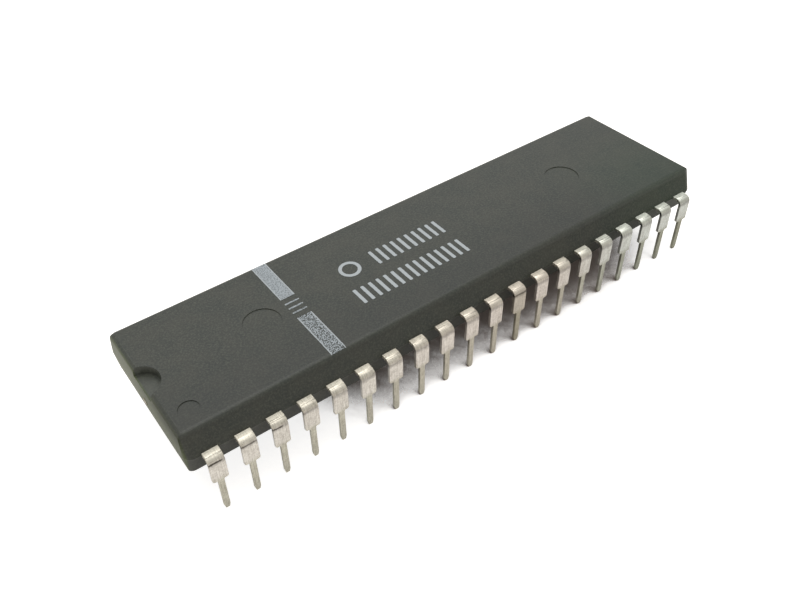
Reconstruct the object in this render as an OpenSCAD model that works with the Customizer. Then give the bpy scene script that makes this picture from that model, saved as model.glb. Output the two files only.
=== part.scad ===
// Dual in-line integrated circuit, moulded package with two rows of through-hole leads.
// X runs along the package with the notched end at -X. Z is up, and the lead tips stand on z = 0.

/* [Lead rows] */
// Leads on each long side
leads_per_row = 20; // [12:1:24]
// Distance between neighbouring leads
pitch = 2.54; // [2.3:0.01:2.8]
// Distance between the two rows, from leg centre to leg centre
row_spacing = 15.24; // [14.8:0.02:16.5]

/* [Lead shape] */
// Thickness of the stamped strip
lead_t = 0.26; // [0.2:0.01:0.32]
// Width of the shoulder and of the upper leg
lead_wide = 1.27; // [1.0:0.01:1.5]
// Width of the lower leg
lead_narrow = 0.48; // [0.38:0.01:0.6]
// Height of the step where the leg gets narrow
step_z = 3.34; // [2.6:0.02:3.9]
// Size of the corners at the step
step_r = 0.12; // [0.04:0.01:0.2]
// Outer radius of the bend below the shoulder
bend_r = 0.55; // [0.4:0.01:0.65]
// Width of the blunt end of a tip
tip_w = 0.3; // [0.14:0.01:0.34]
// Height over which a tip tapers
tip_h = 0.36; // [0.2:0.01:0.8]
// Length of the wide tab that is held in the moulding
tab_l = 0.78; // [0.5:0.01:0.9]

/* [Body] */
// Width of the body at the parting line
body_w = 13.7; // [13.3:0.02:14]
// Length of body beyond the centre of the last lead
end_margin = 1.8; // [1.4:0.01:2.4]
// Height of the parting line above the lead tips
parting_z = 5.66; // [5.2:0.01:6.2]
// Thickness of the body above the parting line
upper_h = 2.05; // [1.7:0.01:2.3]
// Thickness of the body below the parting line
lower_h = 1.95; // [1.5:0.01:2.1]
// Draft angle of the long sides above the parting line, in degrees
side_draft = 20; // [8:0.5:23]
// Draft angle of the long sides below the parting line, in degrees
side_under_draft = 15; // [6:0.5:20]
// Draft angle of the end faces above the parting line, in degrees
end_draft = 3; // [1:0.5:12]
// Draft angle of the end faces below the parting line, in degrees
end_under_draft = 6; // [2:0.5:14]
// Radius of the upright corners at the parting line
corner_r = 0.75; // [0.4:0.01:1]
// Radius of the edge round the top face
top_edge_r = 0.45; // [0.2:0.01:0.6]
// Radius of the edge round the bottom face
bottom_edge_r = 0.3; // [0.15:0.01:0.45]

/* [Marks moulded in the body] */
// Radius of the half-round notch
notch_r = 1.58; // [1.2:0.01:2]
// Depth of the notch below the top face
notch_d = 0.75; // [0.4:0.01:1.1]
// Radius of the pin 1 dimple
dimple_r = 0.82; // [0.5:0.01:1]
// Distance from the dimple to the end of the body at the parting line
dimple_x = 1.8; // [1.7:0.01:2.6]
// Distance from the dimple to the long centre line
dimple_y = 4.4; // [3.6:0.01:4.5]
// Radius of the ejector-pin marks
ejector_r = 1.55; // [1:0.01:2]
// Distance from each ejector-pin mark to the middle of the body
ejector_x = 15.8; // [14:0.05:18]
// Depth of the dimple and of the ejector-pin marks
mark_d = 0.06; // [0.04:0.01:0.2]

/* [Ink] */
// Thickness of the printed ink
ink_t = 0.02; // [0.01:0.01:0.05]
// Width of the stripe across the body
stripe_w = 1.3; // [0.8:0.05:2]
// Distance of the stripe from the middle of the body
stripe_x = 12.8; // [11:0.05:13.2]
// Gap in the middle of the stripe
stripe_gap = 2.5; // [1:0.1:4]
// Bars in the upper printed line
upper_bars = 10; // [4:1:12]
// Bars in the lower printed line
lower_bars = 15; // [4:1:18]
// Distance from the middle of the body to the last bar of both lines
line_end = 2.3; // [1:0.1:4]
// Distance from the long centre line to the upper line
upper_line_y = 0.1; // [0.1:0.05:0.5]
// Distance from the long centre line to the foot of the lower line
lower_line_y = 3.05; // [2.1:0.05:3.4]
// Outer radius of the printed ring
ring_r = 0.95; // [0.5:0.05:1.2]
// Height of the printed bars
bar_h = 1.8; // [1:0.05:2]
// Width of one printed bar
bar_w = 0.3; // [0.2:0.02:0.4]
// Distance between neighbouring bars
bar_pitch = 0.74; // [0.6:0.01:0.9]

/* [Inside] */
// Length of the die pad
pad_l = 7; // [5:0.1:8]
// Width of the die pad
pad_w = 5.6; // [4.5:0.1:6]
// Depth of the die pad below the inner fingers
pad_drop = 0.25; // [0.1:0.01:0.5]
// Width of the tie bars
tie_w = 0.6; // [0.4:0.02:0.8]
// Length of tie bar left standing out of each end face where it was sheared
tie_out = 0.04; // [0.02:0.01:0.1]
// Width of an inner finger
finger_w = 0.26; // [0.2:0.01:0.28]
// Clear space between the die pad and the inner fingers
finger_gap = 0.3; // [0.2:0.01:0.4]
// Length of the die
die_l = 4.6; // [3:0.05:4.8]
// Width of the die
die_w = 3.8; // [2.5:0.05:4]
// Thickness of the die
die_t = 0.36; // [0.25:0.01:0.42]
// Thickness of the die attach layer
attach_t = 0.04; // [0.02:0.01:0.06]
// Thickness of a bond wire
wire_t = 0.05; // [0.03:0.01:0.06]
// Height of the wire loops above the die
loop_h = 0.3; // [0.2:0.01:0.4]

/* [Hidden] */
function pin_name(n) = str("pin_", n < 10 ? "0" : "", n);
$fn = 48;

last_x = (leads_per_row - 1) * pitch / 2;
body_l = 2 * (last_x + end_margin);
top_z = parting_z + upper_h;
bottom_z = parting_z - lower_h;
// The strip lies across the parting line
strip_z = parting_z - lead_t / 2;
strip_top = strip_z + lead_t;
outer_y = row_spacing / 2 + lead_t / 2;
tab_end_y = body_w / 2 - tab_l;
over = 1;

// Inner fingers: outer leads run in lanes beside the tie bars and turn in to the pad past its corner
pad_clear_x = pad_l / 2 + finger_gap;
pad_clear_y = pad_w / 2 + finger_gap;
lane_first = tie_w / 2 + finger_gap + finger_w / 2;
lane_last = tab_end_y - finger_gap - finger_w / 2;
lane_pitch = (lane_last - lane_first) / (leads_per_row / 2 - 2);
turn_x = pad_clear_x + lane_pitch;
lane_bend = lane_pitch / 2;

pad_z = strip_z - pad_drop;
attach_z = pad_z + lead_t;
die_z = attach_z + attach_t;
die_top = die_z + die_t;
// Room left between a wire's foot and the edge, and the level part of a wire's loop as shares of its span
wire_inset = 0.2;
loop_from = 0.15;
loop_to = 0.35;

// Lead numbers run from the notch along the -Y row, and back along the +Y row
function row_place(n) = n <= leads_per_row ? n - 1 : 2 * leads_per_row - n;
function lead_x(n) = row_place(n) * pitch - last_x;
function near_row(n) = n <= leads_per_row;

function arc(cx, cy, r, from, to, steps = 5) =
    [for (i = [0:steps]) let (a = from + (to - from) * i / steps) [cx + r * cos(a), cy + r * sin(a)]];

// Half outline of a drafted section, from the bottom to the top, with half width h at the parting line
function drafted_half(h, draft, under) =
    let (top_h = h - upper_h * tan(draft) - top_edge_r * tan(45 - draft / 2),
         low_h = h - lower_h * tan(under) - bottom_edge_r * tan(45 - under / 2))
    concat(
        arc(low_h, bottom_z + bottom_edge_r, bottom_edge_r, -90, -under, 4),
        [[h, parting_z]],
        arc(top_h, top_z - top_edge_r, top_edge_r, draft, 90, 6));

module drafted_slab(h, draft, under, length) {
    half = drafted_half(h, draft, under);
    rotate([90, 0, 0])
        linear_extrude(length, center = true)
            polygon(concat(half, [for (i = [len(half) - 1:-1:0]) [-half[i][0], half[i][1]]]));
}

// One slab for each direction in plan, so that the upright corners are rounded and drafted too
module body_form() {
    long = body_l / 2 - corner_r;
    wide = body_w / 2 - corner_r;
    intersection_for (a = [0:15:165]) {
        reach = long * abs(cos(a)) + wide * abs(sin(a)) + corner_r;
        ends = pow(cos(a), 2);
        sides = pow(sin(a), 2);
        draft = ends * end_draft + sides * side_draft;
        under = ends * end_under_draft + sides * side_under_draft;
        rotate([0, 0, a]) drafted_slab(reach, draft, under, 2 * body_l);
    }
}

module moulded_marks() {
    translate([-body_l / 2, 0, top_z - notch_d]) cylinder(h = notch_d + over, r = notch_r);
    translate([dimple_x - body_l / 2, -dimple_y, top_z - mark_d]) cylinder(h = mark_d + over, r = dimple_r);
    for (s = [-1, 1]) {
        translate([s * ejector_x, 0, top_z - mark_d]) cylinder(h = mark_d + over, r = ejector_r);
        translate([s * ejector_x, 0, bottom_z - over]) cylinder(h = mark_d + over, r = ejector_r);
    }
}

// A strip of constant width along a path, with mitred corners
function unit(v) = v / norm(v);
function left(v) = [-v[1], v[0]];
function mitre(path, i) =
    let (before = unit(path[max(i, 1)] - path[max(i, 1) - 1]),
         after = unit(path[min(i, len(path) - 2) + 1] - path[min(i, len(path) - 2)]),
         m = unit(left(before) + left(after)))
    m / (m * left(before));

module strip(path, w) {
    edge = [for (i = [0:len(path) - 1]) w / 2 * mitre(path, i)];
    polygon(concat(
        [for (i = [0:len(path) - 1]) path[i] + edge[i]],
        [for (i = [len(path) - 1:-1:0]) path[i] - edge[i]]));
}

// Path of a finger for a lead at distance x from the middle, seen with the pad above and the lead below
function lane_y(x) = lane_first + (last_x - x) / pitch * lane_pitch;
function tip_x(x) = turn_x - (lane_y(x) - pad_clear_y);
function lane_end(y) = y <= pad_clear_y ? pad_clear_x : turn_x;
function finger_path(x) =
    let (y = lane_y(x), start = [x, -tab_end_y - tab_l / 2], lane = [[x, -y - lane_bend], [x - lane_bend, -y]])
    y <= pad_clear_y + finger_w ? concat([start], lane, [[lane_end(y), -y]])
    : x > turn_x + lane_bend ? concat([start], lane, [[turn_x, -y], [tip_x(x), -pad_clear_y]])
    : x > tip_x(x) + finger_w ? [start, [x, -pad_clear_y - (x - tip_x(x))], [tip_x(x), -pad_clear_y]]
    : [start, [x, -pad_clear_y]];
function finger_end(x) = let (p = finger_path(x)) p[len(p) - 1];
function finger_dir(x) = let (p = finger_path(x), n = len(p)) unit(p[n - 1] - p[n - 2]);

// Wide and narrow leg, seen from the side of the package
module leg_outline() {
    half = lead_wide / 2;
    thin = lead_narrow / 2;
    right_edge = concat(
        [[half, top_z], [half, step_z + step_r], [half - step_r, step_z]],
        arc(thin + step_r, step_z - step_r, step_r, 90, 180, 3),
        [[thin, tip_h], [tip_w / 2, 0]]);
    polygon(concat(right_edge, [for (i = [len(right_edge) - 1:-1:0]) [-right_edge[i][0], right_edge[i][1]]]));
}

// Shoulder, bend and leg, seen along the package
module leg_profile() {
    inner_y = outer_y - bend_r;
    translate([tab_end_y, strip_z]) square([inner_y - tab_end_y, lead_t]);
    translate([outer_y - lead_t, 0]) square([lead_t, strip_top - bend_r]);
    translate([inner_y, strip_top - bend_r]) intersection() {
        difference() {
            circle(r = bend_r);
            circle(r = bend_r - lead_t);
        }
        square(bend_r + over);
    }
}

module lead_right(x) {
    translate([x, 0, 0]) intersection() {
        rotate([90, 0, -90]) linear_extrude(lead_wide, center = true) leg_profile();
        rotate([90, 0, 0]) linear_extrude(row_spacing) leg_outline();
    }
    translate([0, 0, strip_z]) linear_extrude(lead_t) strip(finger_path(x), finger_w);
}

module lead(n) {
    x = lead_x(n);
    color("lightgray")
        rotate([0, 0, near_row(n) ? 0 : 180])
            mirror([(near_row(n) ? x : -x) < 0 ? 1 : 0, 0, 0]) lead_right(abs(x));
}

module die_pad() {
    color("silver") {
        translate([-pad_l / 2, -pad_w / 2, pad_z]) cube([pad_l, pad_w, lead_t]);
        for (s = [0, 1]) mirror([s, 0, 0]) tie_bar();
    }
}

// A tie bar leaves the pad, steps up to the parting line and ends flush in the end face
module tie_bar() {
    rise_x = pad_l / 2 + lead_t;
    end_x = body_l / 2 + tie_out;
    lean = lead_t * tan(22.5);
    rotate([90, 0, 0]) linear_extrude(tie_w, center = true) polygon([
        [pad_l / 2 - over, pad_z], [rise_x, pad_z], [rise_x + pad_drop, strip_z], [end_x, strip_z],
        [end_x, strip_top], [rise_x + pad_drop - lean, strip_top], [rise_x - lean, pad_z + lead_t],
        [pad_l / 2 - over, pad_z + lead_t]]);
}

module die_attach() {
    color("gainsboro") translate([-die_l / 2, -die_w / 2, attach_z]) cube([die_l, die_w, attach_t]);
}

module die() {
    color("slategray") translate([-die_l / 2, -die_w / 2, die_z]) cube([die_l, die_w, die_t]);
}

// A wire stands on the edge of the die and lands on its finger
function die_point(x) =
    let (p = finger_end(x), half_l = die_l / 2 - wire_inset, half_w = die_w / 2 - wire_inset)
    -p[1] < pad_clear_y ? [half_l, p[1] * half_w / pad_clear_y] : [p[0] * half_l / turn_x, -half_w];

module bond_wire(x) {
    from = die_point(x);
    to = finger_end(x) - wire_inset * finger_dir(x);
    span = norm(to - from);
    crest = die_top + loop_h;
    translate(from)
        rotate([0, 0, atan2(to[1] - from[1], to[0] - from[0])])
            rotate([90, 0, 0])
                linear_extrude(wire_t, center = true) polygon([
                    [0, die_top], [0, crest - wire_t],
                    [loop_from * span, crest], [loop_to * span, crest],
                    [span, strip_top], [span - 2 * wire_t, strip_top],
                    [loop_to * span - wire_t, crest - wire_t], [loop_from * span + wire_t / 2, crest - wire_t],
                    [wire_t, crest - 2 * wire_t], [wire_t, die_top]]);
}

module bond_wires() {
    color("gold") for (n = [1:2 * leads_per_row]) {
        x = lead_x(n);
        rotate([0, 0, near_row(n) ? 0 : 180])
            mirror([(near_row(n) ? x : -x) < 0 ? 1 : 0, 0, 0]) bond_wire(abs(x));
    }
}

module inner_pieces() {
    die_pad();
    die_attach();
    die();
    bond_wires();
}

module body() {
    color([0.34, 0.35, 0.32]) difference() {
        body_form();
        moulded_marks();
        for (n = [1:2 * leads_per_row]) lead(n);
        inner_pieces();
    }
}

// Flat part of the top face across the body
flat_w = body_w - 2 * upper_h * tan(side_draft) - 2 * top_edge_r * tan(45 - side_draft / 2);

module ink_block(x, y, w, h) {
    translate([x, y, top_z]) cube([w, h, ink_t]);
}

module ink_line(count, y) {
    for (i = [0:count - 1]) ink_block(line_end - bar_w - i * bar_pitch, y, bar_w, bar_h);
}

module ink_ring(x, y) {
    translate([x, y, top_z]) difference() {
        cylinder(h = ink_t, r = ring_r);
        translate([0, 0, -over]) cylinder(h = ink_t + 2 * over, r = ring_r - bar_w);
    }
}

module ink_marking() {
    bar_len = (flat_w - stripe_gap) / 2;
    small = bar_w / 2;
    color("lightsteelblue") {
        for (s = [0, 1])
            mirror([0, s, 0]) ink_block(-stripe_x - stripe_w / 2, stripe_gap / 2, stripe_w, bar_len);
        for (i = [-1:1]) ink_block(-stripe_x - stripe_w / 2, i * 2 * bar_w - small / 2, stripe_w, small);
        ink_line(upper_bars, upper_line_y);
        ink_line(lower_bars, -lower_line_y);
        ink_ring(line_end - upper_bars * bar_pitch - 2 * ring_r, upper_line_y + ring_r);
    }
}

body();
die_pad();
die_attach();
die();
bond_wires();
ink_marking();
for (n = [1:2 * leads_per_row]) lead(n);
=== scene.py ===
import math
from functools import partial
import bpy
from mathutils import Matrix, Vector


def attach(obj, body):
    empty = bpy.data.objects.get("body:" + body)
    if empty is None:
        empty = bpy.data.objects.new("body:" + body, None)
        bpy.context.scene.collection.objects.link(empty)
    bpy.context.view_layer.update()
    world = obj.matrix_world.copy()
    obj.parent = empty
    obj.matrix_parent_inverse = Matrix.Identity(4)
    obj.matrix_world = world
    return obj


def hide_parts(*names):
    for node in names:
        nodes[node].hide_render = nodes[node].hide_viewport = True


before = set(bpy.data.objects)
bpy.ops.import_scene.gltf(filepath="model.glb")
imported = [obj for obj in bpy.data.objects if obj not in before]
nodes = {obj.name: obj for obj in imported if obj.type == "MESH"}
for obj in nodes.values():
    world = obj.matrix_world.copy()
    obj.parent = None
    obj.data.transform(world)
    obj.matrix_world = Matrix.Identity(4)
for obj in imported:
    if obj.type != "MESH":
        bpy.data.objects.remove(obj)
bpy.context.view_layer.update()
mm = 0.001
print("frame loaded:", len(nodes), "nodes")


def linearColour(hexText):
    # An sRGB hex colour as the linear RGBA that Blender works in
    parts = [int(hexText[i:i + 2], 16) / 255 for i in (1, 3, 5)]
    return [p / 12.92 if p <= 0.04045 else ((p + 0.055) / 1.055) ** 2.4 for p in parts] + [1]


# Short names for the nodes used most, with their settings. Their inputs are given in order.
nodeKinds = {
    "sum": ("ShaderNodeMath", {"operation": "ADD"}),
    "difference": ("ShaderNodeMath", {"operation": "SUBTRACT"}),
    "product": ("ShaderNodeMath", {"operation": "MULTIPLY"}),
    "ratio": ("ShaderNodeMath", {"operation": "DIVIDE"}),
    "weighted": ("ShaderNodeMath", {"operation": "MULTIPLY_ADD"}),  # first times second, plus third
    "larger": ("ShaderNodeMath", {"operation": "MAXIMUM"}),
    "distance": ("ShaderNodeMath", {"operation": "ABSOLUTE"}),
    "step": ("ShaderNodeMapRange", {"interpolation_type": "SMOOTHSTEP"}),  # 0 at the second, 1 at the third
    "blend": ("ShaderNodeMix", {"data_type": "RGBA"}),  # share, then the colours at 0 and at 1
    "tint": ("ShaderNodeMix", {"data_type": "RGBA", "blend_type": "MULTIPLY"}),
    "lighten": ("ShaderNodeMix", {"data_type": "RGBA", "blend_type": "ADD"}),
    "noise": ("ShaderNodeTexNoise", {}),
    "point": ("ShaderNodeCombineXYZ", {}),
    "axes": ("ShaderNodeSeparateXYZ", {}),
}


def setInputs(node, inputs):
    # Each input takes a plain value, a hex colour, a socket to link from, or a list of such sockets
    for name, value in inputs.items():
        sources = value if isinstance(value, list) else [value]
        if all(isinstance(source, bpy.types.NodeSocket) for source in sources):
            for source in sources:
                node.id_data.links.new(source, node.inputs[name])
        else:
            node.inputs[name].default_value = linearColour(value) if isinstance(value, str) else value


def addNode(tree, kind, *inputs, out=None, **settings):
    # Inputs come in order, or by name in one dictionary. Gives the first output, the one named by out, or all.
    blenderKind, always = nodeKinds.get(kind, (kind, {}))
    node = tree.nodes.new(blenderKind)
    for name, value in {**always, **settings}.items():
        setattr(node, name, value)
    if inputs and isinstance(inputs[0], dict):
        setInputs(node, inputs[0])
    else:
        inUse = [number for number, socket in enumerate(node.inputs) if socket.enabled]
        setInputs(node, dict(zip(inUse, inputs)))
    if out == "all":
        return node.outputs
    return node.outputs[out] if out else next(socket for socket in node.outputs if socket.enabled)


def newMaterial(name):
    # The material, its own way of adding a node, and its shader
    material = bpy.data.materials.new(name)
    material.use_nodes = True
    return material, partial(addNode, material.node_tree), material.node_tree.nodes["Principled BSDF"]


def patternAt(add, sizes):
    # Object coordinates scaled so that one unit is the given size in metres along each axis
    place = add("ShaderNodeTexCoord", out="Object")
    return add("ShaderNodeMapping", {"Vector": place, "Scale": [1 / size for size in sizes]})


def axesOf(add):
    return add("axes", add("ShaderNodeTexCoord", out="Object"), out="all")


# The camera, fitted to the lead pitch of 2.54 mm and to the body's edges in the photograph
view = {
    "lens": 36.998, "sensor": 36, "shift": (0.051, -0.0193), "clipStart": 0.002,
    "place": (-33.742, -42.215, 51.181), "turn": (48.3224, 2.5456, -34.7551),  # millimetres and degrees
}

camera = bpy.data.objects.new("camera", bpy.data.cameras.new("camera"))
camera.data.sensor_width = view["sensor"]
camera.data.lens = view["lens"]
camera.data.shift_x, camera.data.shift_y = view["shift"]
camera.data.clip_start = view["clipStart"]
camera.location = [v * mm for v in view["place"]]
camera.rotation_euler = [math.radians(a) for a in view["turn"]]
bpy.context.scene.collection.objects.link(camera)
bpy.context.scene.camera = camera
print("camera set")


# Moulding compound: black-grey epoxy filled with silica, transfer moulded in a spark-eroded tool.
# That gives a matt, faintly grained surface with a slightly green cast and a sheen at flat angles.
# The real grain is finer than grainSize, and is drawn this coarse so that it shows.
# Here and below, a pair whose name ends in X, Y, Z, Edge or Tones is where an effect starts and where it is full,
# and a pair whose name ends in Slope is a factor and what is added to the product.
mouldingCompound = {
    "dark": "#272C26", "pale": "#34352D", "cloudSize": 2.6 * mm, "cloudTones": (0.3, 0.7),
    "fleck": "#474A3F", "grainSize": 0.16 * mm, "fleckTones": (0.38, 0.75),
    "grainHeight": 0.012 * mm, "grainBump": 0.6, "roughness": 0.4, "roughnessSpread": 0.16, "ior": 1.46,
    # Painted shade: a little darker on top towards the first row of leads
    "paintedShade": "#DDDDDD", "paintedShadeY": (1 * mm, -6 * mm), "paintedShadeZ": (7 * mm, 7.6 * mm),
    # Painted light: paler past the flat part of the top face, and on the wall of the notch, lifting their shade
    "paintedLight": "#2E2F2B", "flatHalf": (25.36 * mm, 5.78 * mm), "paintedLightEdge": (0, 0.25 * mm),
    "paintedLightZ": (7.3 * mm, 7.55 * mm), "notchCentre": -25.93 * mm, "notchEdge": (1.64 * mm, 1.6 * mm),
    "notchTopZ": (7.7 * mm, 7.6 * mm), "notchFootZ": (6.8 * mm, 6.94 * mm),
    # Greener towards the plain end and the first row
    "greener": "#001707", "greenerX": (12 * mm, 22 * mm), "greenerY": (4 * mm, -5 * mm),
    # Painted light: a khaki lift on the notched end face with less sheen, and the least of both high on its near
    # half, as painted shade
    "khaki": "#46521E", "khakiSlope": (-2, 1.1), "endFaceX": (-25.65 * mm, -25.85 * mm),
    "nearY": (5 * mm, -4 * mm), "highZ": (5.6 * mm, 7.2 * mm), "highSlope": (0.14, 0.1), "allSlope": (0.1, 0.08),
    # Less sheen on the sides towards the plain end, and on the lower half all round
    "sheen": 0.5, "sideSheen": -0.2, "sideX": (-15 * mm, 18 * mm), "sideZ": (7.5 * mm, 7.2 * mm),
    "lowerMatt": 0.2, "lowerZ": (5.65 * mm, 5.5 * mm),
}


def mouldedEpoxy(s):
    material, add, surface = newMaterial("moulded silica-filled epoxy")
    x, y, z = axesOf(add)
    clouds = add("noise", {
        "Vector": patternAt(add, [s["cloudSize"]] * 3), "Scale": 1, "Detail": 4, "Roughness": 0.6})
    grain = add("noise", {
        "Vector": patternAt(add, [s["grainSize"]] * 3), "Scale": 1, "Detail": 3, "Roughness": 0.7})
    colour = add("blend", add("step", clouds, *s["cloudTones"]), s["dark"], s["pale"])
    colour = add("blend", add("step", grain, *s["fleckTones"]), colour, s["fleck"])

    # Painted shade: the top is drawn darker towards the first row of leads
    paintedShade = add("product", add("step", y, *s["paintedShadeY"]), add("step", z, *s["paintedShadeZ"]))
    colour = add("tint", paintedShade, colour, s["paintedShade"])

    # Painted light: paler past the flat part of the top face and on the notch wall, lifting the shade there
    past = [add("difference", add("distance", axis), half) for axis, half in zip((x, y), s["flatHalf"])]
    paintedLight = add("product", add("step", add("larger", *past), *s["paintedLightEdge"]), add("step", z, *s["paintedLightZ"]))
    toNotch = add("point", add("difference", x, s["notchCentre"]), y)
    fromNotch = add("ShaderNodeVectorMath", toNotch, operation="LENGTH")
    notchHeight = add("product", add("step", z, *s["notchTopZ"]), add("step", z, *s["notchFootZ"]))
    inNotch = add("product", add("step", fromNotch, *s["notchEdge"]), notchHeight)
    colour = add("lighten", add("larger", paintedLight, inNotch), colour, s["paintedLight"])

    greener = add("product", add("step", x, *s["greenerX"]), add("step", y, *s["greenerY"]))
    colour = add("lighten", greener, colour, s["greener"])

    # Painted light on the notched end face: a khaki lift, with less of it and less sheen high on the near half as
    # painted shade
    endFace = add("step", x, *s["endFaceX"])
    near = add("step", y, *s["nearY"])
    high = add("step", z, *s["highZ"])
    endDimming = add("weighted", high, add("weighted", near, *s["highSlope"]), add("weighted", near, *s["allSlope"]))
    paintedEndLight = add("product", endFace, add("weighted", endDimming, *s["khakiSlope"]))
    colour = add("lighten", paintedEndLight, colour, s["khaki"])

    side = add("product", add("step", z, *s["sideZ"]), add("step", x, *s["sideX"]))
    lower = add("product", add("step", z, *s["lowerZ"]), s["lowerMatt"])
    sheen = add("difference", add("weighted", side, s["sideSheen"], s["sheen"]), lower)
    setInputs(surface, {
        "Base Color": colour,
        "Specular IOR Level": add("difference", sheen, add("product", endFace, endDimming)),
        "Roughness": add("weighted", grain, s["roughnessSpread"], s["roughness"] - s["roughnessSpread"] / 2),
        "Normal": add("ShaderNodeBump", {
            "Height": grain, "Distance": s["grainHeight"], "Strength": s["grainBump"]}),
        "IOR": s["ior"]})
    return material


# Lead: copper-alloy strip, stamped, formed and then plated with matt tin.
# That gives a warm satin silver with fine lengthwise streaks, forming lines across the bend and a dark crease
# below it. The lower leg is drawn darker and greener, as painted shade near the floor, and the shoulder and bend
# brighter, as painted light. The row is browner in its middle and a greyer white at the plain end. The seed gives
# the twelfth lead a dull leg and a dark crease. The real streaks and grain are finer than streakWide and
# grainSize, and are drawn this coarse so that they show.
leadPlating = {
    "dull": "#B9B3A9", "bright": "#FAF7F0", "tinTones": (0.32, 0.74),
    "streakWide": 0.07 * mm, "streakLong": 1.6 * mm, "streakShare": 0.46, "streakHeight": 0.3,
    "grainSize": 0.14 * mm, "grainShare": 0.38, "patchSize": 0.5 * mm, "patchShare": 0.26,
    "bumpHeight": 0.012 * mm, "bump": 0.8, "roughness": 0.5, "roughnessSpread": 0.16,
    # Painted light: brighter on the shoulder and bend, more so towards both ends of the row
    "highTint": "#FFFCF2", "highZ": (5.3 * mm, 5.6 * mm), "highShade": 0.04,
    "notchedEndX": (-18 * mm, -24 * mm), "notchedEndShade": 0.08,
    "plainEndX": (-14 * mm, 10 * mm), "plainEndShade": 0.12,
    # Tints of a dull lead, of the narrow leg as painted shade near the floor, darker still towards the plain end,
    # and along the row, and a painted highlight on the flat shoulders towards the plain end
    "dullLead": "#E3E2DC", "dullEdge": (0.9, 0.96), "lowerTint": "#E4E5DC", "lowerZ": (3.84 * mm, 3.14 * mm),
    "rowTint": "#F5F1F0", "rowX": (-16 * mm, 4 * mm), "endTint": "#E8F0F2", "endX": (6 * mm, 18 * mm),
    "farLowTint": "#D9D5CC", "farLowX": (12 * mm, 24 * mm),
    "farFlat": "#FCFFF3", "farFlatShare": 0.7, "flatZ": (5.62 * mm, 5.75 * mm), "flatX": (8 * mm, 18 * mm),
    # The crease: strong on the first leads, and elsewhere as luck has it
    "tarnish": "#33291F", "pitch": 2.54 * mm, "seed": 326978,
    "creaseHeight": 5.34 * mm, "creaseWander": 0.3 * mm, "creaseEdge": (0.13 * mm, 0.039 * mm),
    "firstX": (-13 * mm, -19 * mm), "firstStrength": 0.65, "luckStrength": 0.8,
    "reachSlope": (0.3, 0.06), "reachEdge": (0.12, -0.06),
    "smudgeEdge": (0.39 * mm, 0), "smudgeSlope": (0.6, 0.1),
    # Forming lines and one score, by the way round the bend
    "lineWide": 0.055 * mm, "lineTones": (0.6, 0.72), "lineShift": 3.7, "lineShare": 0.5,
    "upperEdge": (1.25 * mm, 1.4 * mm), "lowerEdge": (2.45 * mm, 2.15 * mm),
    "scoreAt": 1.6 * mm, "scoreEdge": (0.06 * mm, 0.024 * mm),
}


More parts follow.
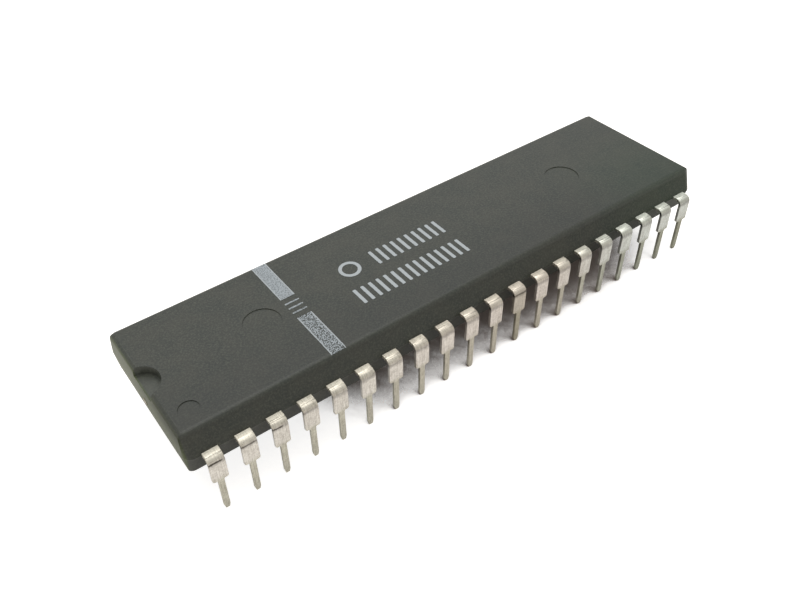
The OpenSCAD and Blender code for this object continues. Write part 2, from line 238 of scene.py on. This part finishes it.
def tinPlate(s):
    material, add, surface = newMaterial("matt tin plate on stamped strip")
    x, y, z = axesOf(add)
    streaks = add("noise", {
        "Vector": patternAt(add, (s["streakWide"], s["streakLong"], s["streakLong"])),
        "Scale": 1, "Detail": 3, "Roughness": 0.6})
    patches = add("noise", {
        "Vector": patternAt(add, [s["patchSize"]] * 3), "Scale": 1, "Detail": 4, "Roughness": 0.65})
    grain = add("noise", {
        "Vector": patternAt(add, [s["grainSize"]] * 3), "Scale": 1, "Detail": 3, "Roughness": 0.7})

    # Steady random numbers for each lead, from its place in the row, and the place across its width
    along = add("ratio", x, s["pitch"])
    leadNumber = add("ShaderNodeMath", along, operation="FLOOR")
    across = add("difference", add("difference", along, leadNumber), 0.5)  # -0.25 to 0.25
    farRow = add("ShaderNodeMath", y, 0, operation="GREATER_THAN")
    luck = add("ShaderNodeTexWhiteNoise", {"Vector": add("point", add("sum", leadNumber, s["seed"]), farRow)},
               noise_dimensions="2D", out="all")
    luckParts = add("ShaderNodeSeparateColor", luck["Color"], out="all")

    shade = add("weighted", streaks, s["streakShare"],
                add("weighted", grain, s["grainShare"], add("product", patches, s["patchShare"])))
    # Painted light: the shoulder and bend are drawn brighter and warmer, more so towards both ends of the row
    high = add("step", z, *s["highZ"])
    plainEnd = add("weighted", add("step", x, *s["plainEndX"]), s["plainEndShade"], s["highShade"])
    ends = add("weighted", add("step", x, *s["notchedEndX"]), s["notchedEndShade"], plainEnd)
    tin = add("blend", add("step", add("weighted", high, ends, shade), *s["tinTones"]), s["dull"], s["bright"])
    tin = add("tint", high, tin, s["highTint"])
    dullLeg = add("difference", add("step", luck["Value"], *s["dullEdge"]), high, use_clamp=True)
    tin = add("tint", dullLeg, tin, s["dullLead"])
    # Painted shade: the narrow leg is drawn darker and greener near the floor
    lower = add("step", z, *s["lowerZ"])
    tin = add("tint", lower, tin, s["lowerTint"])
    placeTint = add("blend", add("step", x, *s["endX"]), s["rowTint"], s["endTint"])
    tin = add("tint", add("step", x, *s["rowX"]), tin, placeTint)
    # Painted shade: the lower leg is darker still towards the plain end
    tin = add("tint", add("product", lower, add("step", x, *s["farLowX"])), tin, s["farLowTint"])
    # Painted highlight: the flat shoulders are drawn paler towards the plain end
    farFlat = add("product", add("step", z, *s["flatZ"]), add("step", x, *s["flatX"]))
    tin = add("blend", add("product", farFlat, s["farFlatShare"]), tin, s["farFlat"])

    # The crease wanders a little up and down across the lead, and is stronger on some leads than on others
    squared = add("product", luck["Value"], luck["Value"])
    strength = add("weighted", add("step", x, *s["firstX"]), s["firstStrength"],
                   add("product", squared, s["luckStrength"]))
    wander = add("weighted", patches, s["creaseWander"], s["creaseHeight"] - s["creaseWander"] / 2)
    away = add("distance", add("difference", z, wander))
    reach = add("weighted", luckParts["Green"], *s["reachSlope"])
    fade = add("step", add("difference", across, reach), *s["reachEdge"])
    core = add("product", add("step", away, *s["creaseEdge"]), add("product", strength, fade))
    smudge = add("product", add("step", away, *s["smudgeEdge"]), add("weighted", patches, *s["smudgeSlope"]))
    crease = add("larger", core, smudge)

    # Fine lines that the forming tool leaves across the strip, counted by the way round the bend
    way = add("difference", add("distance", y), z)
    lineAt = add("point", add("ratio", way, s["lineWide"]), add("product", leadNumber, s["lineShift"]), across)
    lines = add("noise", {"Vector": lineAt, "Scale": 1, "Detail": 1, "Roughness": 0.5})
    onBend = add("product", add("step", way, *s["upperEdge"]), add("step", way, *s["lowerEdge"]))
    fromScore = add("distance", add("difference", way, s["scoreAt"]))
    score = add("product", add("step", fromScore, *s["scoreEdge"]), luckParts["Blue"])
    scored = add("larger", score, add("product", add("step", lines, *s["lineTones"]), onBend))

    worn = add("larger", crease, add("product", scored, s["lineShare"]))
    height = add("difference", add("product", streaks, s["streakHeight"]), add("larger", crease, scored))
    setInputs(surface, {
        "Base Color": add("blend", worn, tin, s["tarnish"]),
        "Roughness": add("weighted", patches, s["roughnessSpread"], s["roughness"] - s["roughnessSpread"] / 2),
        "Normal": add("ShaderNodeBump", {"Height": height, "Distance": s["bumpHeight"], "Strength": s["bump"]}),
        "Metallic": 1})
    return material


# Print: one coat of pale pad-printing ink on the matt moulding.
# That gives a chalky blue-grey film, thicker at its rim, and worn to dark specks on the half beside pin 1.
printInk = {
    "ink": "#A4ABAF", "rim": "#AEB4B6", "bare": "#33362F", "roughness": 0.7,
    "stripeCentre": -12.8 * mm, "rimEdge": (0.52 * mm, 0.611 * mm), "wornY": (0.5 * mm, -1.5 * mm),
    "speckSize": 0.088 * mm, "limitSlope": (0.045, 0.465), "bareSlope": (0.37, 0.6), "speckEdge": (-0.04, 0.05),
    "bumpHeight": 0.01 * mm, "bump": 0.5,
}


def padPrint(s):
    material, add, surface = newMaterial("pad-printed epoxy ink")
    x, y = axesOf(add)[:2]
    specks = add("noise", {
        "Vector": patternAt(add, [s["speckSize"]] * 3), "Scale": 1, "Detail": 1, "Roughness": 0.5})
    rim = add("step", add("distance", add("difference", x, s["stripeCentre"])), *s["rimEdge"])
    worn = add("step", y, *s["wornY"])
    limit = add("weighted", worn, *s["limitSlope"])
    bareness = add("product", add("difference", 1, rim), add("weighted", worn, *s["bareSlope"]))
    holes = add("product", bareness, add("step", add("difference", limit, specks), *s["speckEdge"]))
    film = add("blend", rim, s["ink"], s["rim"])
    setInputs(surface, {
        "Base Color": add("blend", holes, film, s["bare"]),
        "Roughness": s["roughness"],
        "Normal": add("ShaderNodeBump", {"Height": specks, "Distance": s["bumpHeight"], "Strength": s["bump"]})})
    return material


# The printed marks: a stripe across the body in two parts, plain bars in two lines and in the gap, and a ring
printedMarks = {
    "Film": 0.02 * mm, "Ragged": 0.03 * mm, "Ragged Size": 0.14 * mm, "Seed": 3, "Weld": 0.001 * mm,
    "Top": 7.71 * mm, "Flat Half": 5.79 * mm, "Edge Radius": 0.45 * mm,
    "Stripe Wide": 1.3 * mm, "Stripe Long": 4.77 * mm, "Stripe Place": (-12.8 * mm, 3.635 * mm, 0),
    "Stripe Columns": 14, "Stripe Rows": 50,
    "Bar Wide": 0.3 * mm, "Bar High": 1.8 * mm, "Bar Pitch": 0.74 * mm, "Bar Corner": 0.07 * mm,
    "Corner Steps": 4, "Upper Bars": 10, "Upper Place": (2.15 * mm, 1.0 * mm, 0),
    "Lower Bars": 15, "Lower Place": (2.15 * mm, -2.15 * mm, 0),
    "Gap Bars": 3, "Gap High": 0.15 * mm, "Gap Pitch": 0.6 * mm, "Gap Place": (-12.8 * mm, -0.6 * mm, 0),
    "Ring Radius": 0.95 * mm, "Ring Wide": 0.3 * mm, "Ring Sides": 48, "Ring Place": (-7.0 * mm, 1.05 * mm, 0),
}


def nodeTree(name, settings):
    # A Geometry Nodes tree with one named input for each setting; counts, places and lengths by their type
    kinds = {int: "NodeSocketInt", float: "NodeSocketFloat", tuple: "NodeSocketVector"}
    tree = bpy.data.node_groups.new(name, "GeometryNodeTree")
    for title, value in settings.items():
        tree.interface.new_socket(title, in_out="INPUT", socket_type=kinds[type(value)])
    tree.interface.new_socket("Geometry", in_out="OUTPUT", socket_type="NodeSocketGeometry")
    return tree, tree.nodes.new("NodeGroupInput").outputs


def bakeTree(name, tree, settings):
    # Runs a tree on an empty piece and keeps the result as a plain mesh
    piece = bpy.data.objects.new(name, bpy.data.meshes.new(name))
    bpy.context.scene.collection.objects.link(piece)
    modifier = piece.modifiers.new("build", "NODES")
    modifier.node_group = tree
    for socket in tree.interface.items_tree:
        if socket.in_out == "INPUT":
            modifier[socket.identifier] = settings[socket.name]
    shaped = bpy.data.meshes.new_from_object(piece.evaluated_get(bpy.context.evaluated_depsgraph_get()))
    piece.modifiers.remove(modifier)
    piece.data = shaped
    return piece


def marksTree(settings, material):
    tree, size = nodeTree("printed marks", settings)
    add = partial(addNode, tree)

    def rowOf(wide, high, count, place, pitch):
        # Rounded bars in a row from place, each one pitch from the last
        bar = add("GeometryNodeCurvePrimitiveQuadrilateral", {"Width": wide, "Height": high})
        soft = add("GeometryNodeFilletCurve", {
            "Curve": bar, "Count": size["Corner Steps"], "Radius": size["Bar Corner"], "Limit Radius": True},
            mode="POLY")
        line = add("GeometryNodeMeshLine", {"Count": count, "Start Location": place, "Offset": pitch})
        return add("GeometryNodeInstanceOnPoints", {"Points": line, "Instance": soft})

    back = add("point", {"X": add("product", size["Bar Pitch"], -1)})
    aside = add("point", {"Y": size["Gap Pitch"]})
    outlines = [
        rowOf(size["Bar Wide"], size["Bar High"], size["Upper Bars"], size["Upper Place"], back),
        rowOf(size["Bar Wide"], size["Bar High"], size["Lower Bars"], size["Lower Place"], back),
        rowOf(size["Stripe Wide"], size["Gap High"], size["Gap Bars"], size["Gap Place"], aside)]
    for radius in (size["Ring Radius"], add("difference", size["Ring Radius"], size["Ring Wide"])):
        circle = add("GeometryNodeCurvePrimitiveCircle", {"Resolution": size["Ring Sides"], "Radius": radius})
        outlines.append(add("GeometryNodeTransform", {"Geometry": circle, "Translation": size["Ring Place"]}))
    drawn = add("GeometryNodeJoinGeometry", {"Geometry": outlines})
    loose = add("GeometryNodeRealizeInstances", {"Geometry": drawn})
    fine = add("GeometryNodeResampleCurve", {"Curve": loose, "Length": size["Bar Corner"]}, mode="LENGTH")
    filled = add("GeometryNodeFillCurve", {"Curve": fine}, mode="TRIANGLES")

    # The two parts of the stripe are grids, so that they can follow the rounded edge of the top face
    part = add("GeometryNodeMeshGrid", {
        "Size X": size["Stripe Wide"], "Size Y": size["Stripe Long"],
        "Vertices X": size["Stripe Columns"], "Vertices Y": size["Stripe Rows"]})
    acrossBody = add("ShaderNodeVectorMath", size["Stripe Place"], (1, -1, 1), operation="MULTIPLY")
    parts = [add("GeometryNodeTransform", {"Geometry": part, "Translation": place})
             for place in (size["Stripe Place"], acrossBody)]
    sheet = add("GeometryNodeJoinGeometry", {"Geometry": [filled] + parts})

    # Ragged edges from a fixed noise, then down over the rounded edge, then a film's thickness up
    place = add("GeometryNodeInputPosition")
    noise = add("noise", {
        "Vector": place, "W": size["Seed"], "Scale": add("ratio", 1, size["Ragged Size"]), "Detail": 1},
        noise_dimensions="4D", out="Color")
    centred = add("ShaderNodeVectorMath", noise, (0.5, 0.5, 0.5), operation="SUBTRACT")
    level = add("ShaderNodeVectorMath", centred, (1, 1, 0), operation="MULTIPLY")
    ragged = add("ShaderNodeVectorMath", level, add("product", size["Ragged"], 2), operation="SCALE")
    rough = add("GeometryNodeSetPosition", {"Geometry": sheet, "Offset": ragged})
    fromMiddle = add("distance", add("axes", place, out="Y"))
    beyond = add("larger", add("difference", fromMiddle, size["Flat Half"]), 0)
    radius = size["Edge Radius"]
    squares = add("difference", add("product", radius, radius), add("product", beyond, beyond))
    drop = add("difference", add("ShaderNodeMath", squares, operation="SQRT"), radius)
    lowered = add("point", {"Z": add("sum", drop, size["Top"])})
    laid = add("GeometryNodeSetPosition", {"Geometry": rough, "Offset": lowered})
    film = add("GeometryNodeExtrudeMesh", {
        "Mesh": laid, "Offset": (0, 0, 1), "Offset Scale": size["Film"], "Individual": False}, mode="FACES")
    under = add("GeometryNodeFlipFaces", {"Mesh": laid})
    shell = add("GeometryNodeJoinGeometry", {"Geometry": [film, under]})
    closed = add("GeometryNodeMergeByDistance", {"Geometry": shell, "Distance": size["Weld"]})
    whole = add("GeometryNodeRealizeInstances", {"Geometry": closed})
    inked = add("GeometryNodeSetMaterial", {"Geometry": whole, "Material": material})
    tree.links.new(inked, tree.nodes.new("NodeGroupOutput").inputs[0])
    return tree


ink = padPrint(printInk)
marks = bakeTree("printedMarks", marksTree(printedMarks, ink), printedMarks)
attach(marks, "root")
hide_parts("ink_marking")
print("marks printed:", len(marks.data.polygons), "faces")


# What is sealed in the moulding: bare strip, silver-filled epoxy, polished silicon and drawn gold wire.
# Only the sheared ends of the tie bars show, one in each end face.
# Each has its name, a dark and a pale colour, how metallic and how rough it is, and the size of its grain.
sealedFinishes = {
    "die_pad": ("rolled copper-alloy strip", "#A79E90", "#C4BCAD", 1.0, 0.4, 0.3 * mm),
    "die_attach": ("cured silver-filled epoxy", "#9A9A98", "#B5B5B2", 0.3, 0.6, 0.1 * mm),
    "die": ("polished silicon", "#3A3E4A", "#4B5263", 0.6, 0.2, 0.4 * mm),
    "bond_wires": ("drawn gold wire", "#D9A949", "#E9C170", 1.0, 0.25, 0.1 * mm),
}
sealedGrain = {"grainTones": (0.3, 0.7), "roughnessSpread": 0.1}


def sealedFinish(name, dark, pale, metallic, roughness, size):
    material, add, surface = newMaterial(name)
    noise = add("noise", {"Vector": patternAt(add, [size] * 3), "Scale": 1, "Detail": 3})
    spread = sealedGrain["roughnessSpread"]
    setInputs(surface, {
        "Base Color": add("blend", add("step", noise, *sealedGrain["grainTones"]), dark, pale),
        "Roughness": add("weighted", noise, spread, roughness - spread / 2),
        "Metallic": metallic})
    return material


def dress(name, material):
    for slot in nodes[name].material_slots:
        slot.link = "OBJECT"
        slot.material = material


dress("body", mouldedEpoxy(mouldingCompound))
pins = sorted(name for name in nodes if name.startswith("pin_"))
tin = tinPlate(leadPlating)
for name in pins:
    dress(name, tin)
for name, finish in sealedFinishes.items():
    dress(name, sealedFinish(*finish))
print("materials made and", len(pins), "leads plated")


# Soft edges on the CAD solids, as a mould and a worn press tool leave them
softEdges = {"body": 0.05 * mm, "lead": 0.035 * mm, "weld": 0.0005 * mm, "segments": 2, "sharpestDegrees": 35}


def softenEdges(name, width):
    weld = nodes[name].modifiers.new("weld", "WELD")
    weld.merge_threshold = softEdges["weld"]
    bevel = nodes[name].modifiers.new("soft edge", "BEVEL")
    bevel.width = width
    bevel.segments = softEdges["segments"]
    bevel.limit_method = "ANGLE"
    bevel.angle_limit = math.radians(softEdges["sharpestDegrees"])
    bevel.harden_normals = True


for name in pins:
    softenEdges(name, softEdges["lead"])
softenEdges("body", softEdges["body"])
print("edges softened")


# Studio: a pale floor that reaches white, a broad lamp overhead, a panel behind for the sheen, and a plain room.
# The floor glows white where it lies open enough, and elsewhere keeps a painted shadow in the shade colour.
# How open that is changes along the row, by each step of openSteps: from one place to the next, by so much.
# Under the first leads nearly all of it is white.
studio = {
    "floor": "#D9D3CC", "shade": "#AEA098", "floorHalf": 1.5, "floorRoughness": 0.9, "floorSheen": 0.1,
    "floorLift": 0.8, "floorGlare": 0.36, "shadeReach": 8 * mm, "shadeSamples": 16, "shadeSoft": 0.15,
    "openFirst": 0.14,
    "openSteps": ((-18 * mm, -8 * mm, 0.36), (-6 * mm, 12 * mm, 0.1), (15 * mm, 23 * mm, -0.2)),
    "room": 0.5,
    "lamps": {  # place in metres, side in metres, watts
        "overhead": ((0.02, 0.06, 0.44), 0.42, 1.0),
        "behind": ((0.16, 0.31, 0.32), 0.5, 0.52),
    },
}

floorPaper, add, surface = newMaterial("matt white studio paper")
rays = add("ShaderNodeLightPath", out="all")
seen = add("weighted", rays["Is Camera Ray"], studio["floorLift"],
           add("product", rays["Is Glossy Ray"], studio["floorGlare"]))
nearby = add("ShaderNodeAmbientOcclusion", {"Distance": studio["shadeReach"]},
             samples=studio["shadeSamples"], out="AO")
alongRow = axesOf(add)[0]
openEnough = studio["openFirst"]
for start, end, change in studio["openSteps"]:
    openEnough = add("weighted", add("step", alongRow, start, end), change, openEnough)
# Painted shadow: where the floor is not open enough it loses its glow and takes the darker shade colour
lift = add("step", add("difference", nearby, openEnough), -studio["shadeSoft"], 0)
setInputs(surface, {
    "Base Color": add("blend", lift, studio["shade"], studio["floor"]),
    "Roughness": studio["floorRoughness"],
    "Specular IOR Level": studio["floorSheen"],
    "Emission Color": "#FFFFFF",
    "Emission Strength": add("product", seen, lift)})

half = studio["floorHalf"]
corners = [(-half, -half, 0), (half, -half, 0), (half, half, 0), (-half, half, 0)]
floor = bpy.data.objects.new("floor", bpy.data.meshes.new("floor"))
floor.data.from_pydata(corners, [], [(0, 1, 2, 3)])
floor.data.materials.append(floorPaper)
bpy.context.scene.collection.objects.link(floor)

world = bpy.data.worlds.new("plain room")
world.use_nodes = True
bpy.context.scene.world = world
add = partial(addNode, world.node_tree)
setInputs(world.node_tree.nodes["Background"], {
    "Color": "#FFFFFF",
    "Strength": add("weighted", add("ShaderNodeLightPath", out="Is Camera Ray"),
                    1 - studio["room"], studio["room"])})

for name, (place, side, watts) in studio["lamps"].items():
    lamp = bpy.data.objects.new(name, bpy.data.lights.new(name, "AREA"))
    lamp.data.energy = watts
    lamp.data.size = side
    lamp.location = place
    lamp.rotation_euler = (-Vector(place)).to_track_quat("-Z", "Y").to_euler()
    bpy.context.scene.collection.objects.link(lamp)
bpy.context.scene.view_settings.view_transform = "Standard"
print("studio lit")
